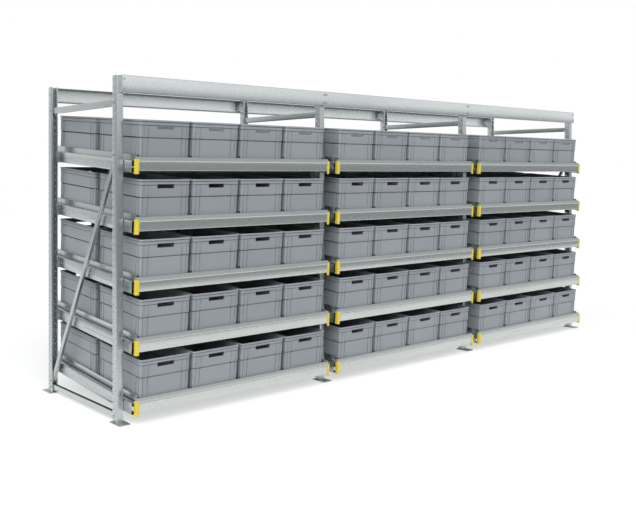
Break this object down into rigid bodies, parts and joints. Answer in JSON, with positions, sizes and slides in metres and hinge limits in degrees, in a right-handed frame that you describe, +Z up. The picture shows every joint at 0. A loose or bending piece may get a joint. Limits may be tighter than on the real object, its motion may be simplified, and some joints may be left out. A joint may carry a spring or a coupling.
{
  "type": "flow rack",
  "caption": "Free-standing gravity flow rack: inclined roller lanes between perforated uprights carry open plastic bins down to a front stop lip.",
  "frame": {"origin": "on the floor under the middle of the rack", "axes": "+X along the bays, +Y from the picking side to the loading side, +Z up"},
  "size_m": [5.484, 1.3448, 2.325],
  "materials": {
    "galvanised_steel": "galvanised, dull spangle",
    "beam_steel": "galvanised sheet, smooth",
    "zinc_fasteners": "zinc plated",
    "bin_plastic": "moulded, fine grain",
    "yellow_plastic": "moulded, satin",
    "roller_plastic": "turned plastic"
  },
  "bodies": {
    "rack": {"front_uprights": "galvanised_steel", "rear_uprights": "galvanised_steel", "base_plates": "galvanised_steel", "horizontal_braces": "galvanised_steel", "diagonal_braces": "galvanised_steel", "frame_bolts": "zinc_fasteners", "top_front_beams": "beam_steel", "top_rear_beams": "beam_steel", "shelf_side_channels": "galvanised_steel", "shelf_front_beams": "beam_steel", "shelf_rear_beams": "beam_steel", "shelf_end_caps": "yellow_plastic", "shelf_brackets": "zinc_fasteners", "shelf_bolts": "zinc_fasteners", "lane_rails": "galvanised_steel"},
    "rollers_tier_1_row_1": {"rollers_tier_1_row_1": "roller_plastic"},
    "rollers_tier_1_row_2": {"rollers_tier_1_row_2": "roller_plastic"},
    "rollers_tier_1_row_3": {"rollers_tier_1_row_3": "roller_plastic"},
    "rollers_tier_1_row_4": {"rollers_tier_1_row_4": "roller_plastic"},
    "rollers_tier_1_row_5": {"rollers_tier_1_row_5": "roller_plastic"},
    "rollers_tier_1_row_6": {"rollers_tier_1_row_6": "roller_plastic"},
    "rollers_tier_2_row_1": {"rollers_tier_2_row_1": "roller_plastic"},
    "rollers_tier_2_row_2": {"rollers_tier_2_row_2": "roller_plastic"},
    "rollers_tier_2_row_3": {"rollers_tier_2_row_3": "roller_plastic"},
    "rollers_tier_2_row_4": {"rollers_tier_2_row_4": "roller_plastic"},
    "rollers_tier_2_row_5": {"rollers_tier_2_row_5": "roller_plastic"},
    "rollers_tier_2_row_6": {"rollers_tier_2_row_6": "roller_plastic"},
    "rollers_tier_3_row_1": {"rollers_tier_3_row_1": "roller_plastic"},
    "rollers_tier_3_row_2": {"rollers_tier_3_row_2": "roller_plastic"},
    "rollers_tier_3_row_3": {"rollers_tier_3_row_3": "roller_plastic"},
    "rollers_tier_3_row_4": {"rollers_tier_3_row_4": "roller_plastic"},
    "rollers_tier_3_row_5": {"rollers_tier_3_row_5": "roller_plastic"},
    "rollers_tier_3_row_6": {"rollers_tier_3_row_6": "roller_plastic"},
    "rollers_tier_4_row_1": {"rollers_tier_4_row_1": "roller_plastic"},
    "rollers_tier_4_row_2": {"rollers_tier_4_row_2": "roller_plastic"},
    "rollers_tier_4_row_3": {"rollers_tier_4_row_3": "roller_plastic"},
    "rollers_tier_4_row_4": {"rollers_tier_4_row_4": "roller_plastic"},
    "rollers_tier_4_row_5": {"rollers_tier_4_row_5": "roller_plastic"},
    "rollers_tier_4_row_6": {"rollers_tier_4_row_6": "roller_plastic"},
    "rollers_tier_5_row_1": {"rollers_tier_5_row_1": "roller_plastic"},
    "rollers_tier_5_row_2": {"rollers_tier_5_row_2": "roller_plastic"},
    "rollers_tier_5_row_3": {"rollers_tier_5_row_3": "roller_plastic"},
    "rollers_tier_5_row_4": {"rollers_tier_5_row_4": "roller_plastic"},
    "rollers_tier_5_row_5": {"rollers_tier_5_row_5": "roller_plastic"},
    "rollers_tier_5_row_6": {"rollers_tier_5_row_6": "roller_plastic"},
    "bins_bay_1_tier_1": {"bins_bay_1_tier_1": "bin_plastic"},
    "bins_bay_1_tier_2": {"bins_bay_1_tier_2": "bin_plastic"},
    "bins_bay_1_tier_3": {"bins_bay_1_tier_3": "bin_plastic"},
    "bins_bay_1_tier_4": {"bins_bay_1_tier_4": "bin_plastic"},
    "bins_bay_1_tier_5": {"bins_bay_1_tier_5": "bin_plastic"},
    "bins_bay_2_tier_1": {"bins_bay_2_tier_1": "bin_plastic"},
    "bins_bay_2_tier_2": {"bins_bay_2_tier_2": "bin_plastic"},
    "bins_bay_2_tier_3": {"bins_bay_2_tier_3": "bin_plastic"},
    "bins_bay_2_tier_4": {"bins_bay_2_tier_4": "bin_plastic"},
    "bins_bay_2_tier_5": {"bins_bay_2_tier_5": "bin_plastic"},
    "bins_bay_3_tier_1": {"bins_bay_3_tier_1": "bin_plastic"},
    "bins_bay_3_tier_2": {"bins_bay_3_tier_2": "bin_plastic"},
    "bins_bay_3_tier_3": {"bins_bay_3_tier_3": "bin_plastic"},
    "bins_bay_3_tier_4": {"bins_bay_3_tier_4": "bin_plastic"},
    "bins_bay_3_tier_5": {"bins_bay_3_tier_5": "bin_plastic"}
  },
  "joints": [
    {"name": "spin_tier_1_row_1", "type": "hinge", "parent": "rack", "child": "rollers_tier_1_row_1", "pos_m": [0, -0.57896, 0.14768], "axis": [1, 0, 0], "continuous": true},
    {"name": "spin_tier_1_row_2", "type": "hinge", "parent": "rack", "child": "rollers_tier_1_row_2", "pos_m": [0, -0.35455, 0.16395], "axis": [1, 0, 0], "continuous": true},
    {"name": "spin_tier_1_row_3", "type": "hinge", "parent": "rack", "child": "rollers_tier_1_row_3", "pos_m": [0, -0.13014, 0.18022], "axis": [1, 0, 0], "continuous": true},
    {"name": "spin_tier_1_row_4", "type": "hinge", "parent": "rack", "child": "rollers_tier_1_row_4", "pos_m": [0, 0.09427, 0.19649], "axis": [1, 0, 0], "continuous": true},
    {"name": "spin_tier_1_row_5", "type": "hinge", "parent": "rack", "child": "rollers_tier_1_row_5", "pos_m": [0, 0.31868, 0.21276], "axis": [1, 0, 0], "continuous": true},
    {"name": "spin_tier_1_row_6", "type": "hinge", "parent": "rack", "child": "rollers_tier_1_row_6", "pos_m": [0, 0.54309, 0.22903], "axis": [1, 0, 0], "continuous": true},
    {"name": "spin_tier_2_row_1", "type": "hinge", "parent": "rack", "child": "rollers_tier_2_row_1", "pos_m": [0, -0.57896, 0.54768], "axis": [1, 0, 0], "continuous": true},
    {"name": "spin_tier_2_row_2", "type": "hinge", "parent": "rack", "child": "rollers_tier_2_row_2", "pos_m": [0, -0.35455, 0.56395], "axis": [1, 0, 0], "continuous": true},
    {"name": "spin_tier_2_row_3", "type": "hinge", "parent": "rack", "child": "rollers_tier_2_row_3", "pos_m": [0, -0.13014, 0.58022], "axis": [1, 0, 0], "continuous": true},
    {"name": "spin_tier_2_row_4", "type": "hinge", "parent": "rack", "child": "rollers_tier_2_row_4", "pos_m": [0, 0.09427, 0.59649], "axis": [1, 0, 0], "continuous": true},
    {"name": "spin_tier_2_row_5", "type": "hinge", "parent": "rack", "child": "rollers_tier_2_row_5", "pos_m": [0, 0.31868, 0.61276], "axis": [1, 0, 0], "continuous": true},
    {"name": "spin_tier_2_row_6", "type": "hinge", "parent": "rack", "child": "rollers_tier_2_row_6", "pos_m": [0, 0.54309, 0.62903], "axis": [1, 0, 0], "continuous": true},
    {"name": "spin_tier_3_row_1", "type": "hinge", "parent": "rack", "child": "rollers_tier_3_row_1", "pos_m": [0, -0.57896, 0.94768], "axis": [1, 0, 0], "continuous": true},
    {"name": "spin_tier_3_row_2", "type": "hinge", "parent": "rack", "child": "rollers_tier_3_row_2", "pos_m": [0, -0.35455, 0.96395], "axis": [1, 0, 0], "continuous": true},
    {"name": "spin_tier_3_row_3", "type": "hinge", "parent": "rack", "child": "rollers_tier_3_row_3", "pos_m": [0, -0.13014, 0.98022], "axis": [1, 0, 0], "continuous": true},
    {"name": "spin_tier_3_row_4", "type": "hinge", "parent": "rack", "child": "rollers_tier_3_row_4", "pos_m": [0, 0.09427, 0.99649], "axis": [1, 0, 0], "continuous": true},
    {"name": "spin_tier_3_row_5", "type": "hinge", "parent": "rack", "child": "rollers_tier_3_row_5", "pos_m": [0, 0.31868, 1.01276], "axis": [1, 0, 0], "continuous": true},
    {"name": "spin_tier_3_row_6", "type": "hinge", "parent": "rack", "child": "rollers_tier_3_row_6", "pos_m": [0, 0.54309, 1.02903], "axis": [1, 0, 0], "continuous": true},
    {"name": "spin_tier_4_row_1", "type": "hinge", "parent": "rack", "child": "rollers_tier_4_row_1", "pos_m": [0, -0.57896, 1.34768], "axis": [1, 0, 0], "continuous": true},
    {"name": "spin_tier_4_row_2", "type": "hinge", "parent": "rack", "child": "rollers_tier_4_row_2", "pos_m": [0, -0.35455, 1.36395], "axis": [1, 0, 0], "continuous": true},
    {"name": "spin_tier_4_row_3", "type": "hinge", "parent": "rack", "child": "rollers_tier_4_row_3", "pos_m": [0, -0.13014, 1.38022], "axis": [1, 0, 0], "continuous": true},
    {"name": "spin_tier_4_row_4", "type": "hinge", "parent": "rack", "child": "rollers_tier_4_row_4", "pos_m": [0, 0.09427, 1.39649], "axis": [1, 0, 0], "continuous": true},
    {"name": "spin_tier_4_row_5", "type": "hinge", "parent": "rack", "child": "rollers_tier_4_row_5", "pos_m": [0, 0.31868, 1.41276], "axis": [1, 0, 0], "continuous": true},
    {"name": "spin_tier_4_row_6", "type": "hinge", "parent": "rack", "child": "rollers_tier_4_row_6", "pos_m": [0, 0.54309, 1.42903], "axis": [1, 0, 0], "continuous": true},
    {"name": "spin_tier_5_row_1", "type": "hinge", "parent": "rack", "child": "rollers_tier_5_row_1", "pos_m": [0, -0.57896, 1.74768], "axis": [1, 0, 0], "continuous": true},
    {"name": "spin_tier_5_row_2", "type": "hinge", "parent": "rack", "child": "rollers_tier_5_row_2", "pos_m": [0, -0.35455, 1.76395], "axis": [1, 0, 0], "continuous": true},
    {"name": "spin_tier_5_row_3", "type": "hinge", "parent": "rack", "child": "rollers_tier_5_row_3", "pos_m": [0, -0.13014, 1.78022], "axis": [1, 0, 0], "continuous": true},
    {"name": "spin_tier_5_row_4", "type": "hinge", "parent": "rack", "child": "rollers_tier_5_row_4", "pos_m": [0, 0.09427, 1.79649], "axis": [1, 0, 0], "continuous": true},
    {"name": "spin_tier_5_row_5", "type": "hinge", "parent": "rack", "child": "rollers_tier_5_row_5", "pos_m": [0, 0.31868, 1.81276], "axis": [1, 0, 0], "continuous": true},
    {"name": "spin_tier_5_row_6", "type": "hinge", "parent": "rack", "child": "rollers_tier_5_row_6", "pos_m": [0, 0.54309, 1.82903], "axis": [1, 0, 0], "continuous": true},
    {"name": "roll_bay_1_tier_1", "type": "slide", "parent": "rack", "child": "bins_bay_1_tier_1", "axis": [0, 0.9974, 0.0723], "range_m": [0, 0.25]},
    {"name": "roll_bay_1_tier_2", "type": "slide", "parent": "rack", "child": "bins_bay_1_tier_2", "axis": [0, 0.9974, 0.0723], "range_m": [0, 0.25]},
    {"name": "roll_bay_1_tier_3", "type": "slide", "parent": "rack", "child": "bins_bay_1_tier_3", "axis": [0, 0.9974, 0.0723], "range_m": [0, 0.25]},
    {"name": "roll_bay_1_tier_4", "type": "slide", "parent": "rack", "child": "bins_bay_1_tier_4", "axis": [0, 0.9974, 0.0723], "range_m": [0, 0.25]},
    {"name": "roll_bay_1_tier_5", "type": "slide", "parent": "rack", "child": "bins_bay_1_tier_5", "axis": [0, 0.9974, 0.0723], "range_m": [0, 0.25]},
    {"name": "roll_bay_2_tier_1", "type": "slide", "parent": "rack", "child": "bins_bay_2_tier_1", "axis": [0, 0.9974, 0.0723], "range_m": [0, 0.25]},
    {"name": "roll_bay_2_tier_2", "type": "slide", "parent": "rack", "child": "bins_bay_2_tier_2", "axis": [0, 0.9974, 0.0723], "range_m": [0, 0.25]},
    {"name": "roll_bay_2_tier_3", "type": "slide", "parent": "rack", "child": "bins_bay_2_tier_3", "axis": [0, 0.9974, 0.0723], "range_m": [0, 0.25]},
    {"name": "roll_bay_2_tier_4", "type": "slide", "parent": "rack", "child": "bins_bay_2_tier_4", "axis": [0, 0.9974, 0.0723], "range_m": [0, 0.25]},
    {"name": "roll_bay_2_tier_5", "type": "slide", "parent": "rack", "child": "bins_bay_2_tier_5", "axis": [0, 0.9974, 0.0723], "range_m": [0, 0.25]},
    {"name": "roll_bay_3_tier_1", "type": "slide", "parent": "rack", "child": "bins_bay_3_tier_1", "axis": [0, 0.9974, 0.0723], "range_m": [0, 0.25]},
    {"name": "roll_bay_3_tier_2", "type": "slide", "parent": "rack", "child": "bins_bay_3_tier_2", "axis": [0, 0.9974, 0.0723], "range_m": [0, 0.25]},
    {"name": "roll_bay_3_tier_3", "type": "slide", "parent": "rack", "child": "bins_bay_3_tier_3", "axis": [0, 0.9974, 0.0723], "range_m": [0, 0.25]},
    {"name": "roll_bay_3_tier_4", "type": "slide", "parent": "rack", "child": "bins_bay_3_tier_4", "axis": [0, 0.9974, 0.0723], "range_m": [0, 0.25]},
    {"name": "roll_bay_3_tier_5", "type": "slide", "parent": "rack", "child": "bins_bay_3_tier_5", "axis": [0, 0.9974, 0.0723], "range_m": [0, 0.25]}
  ]
}
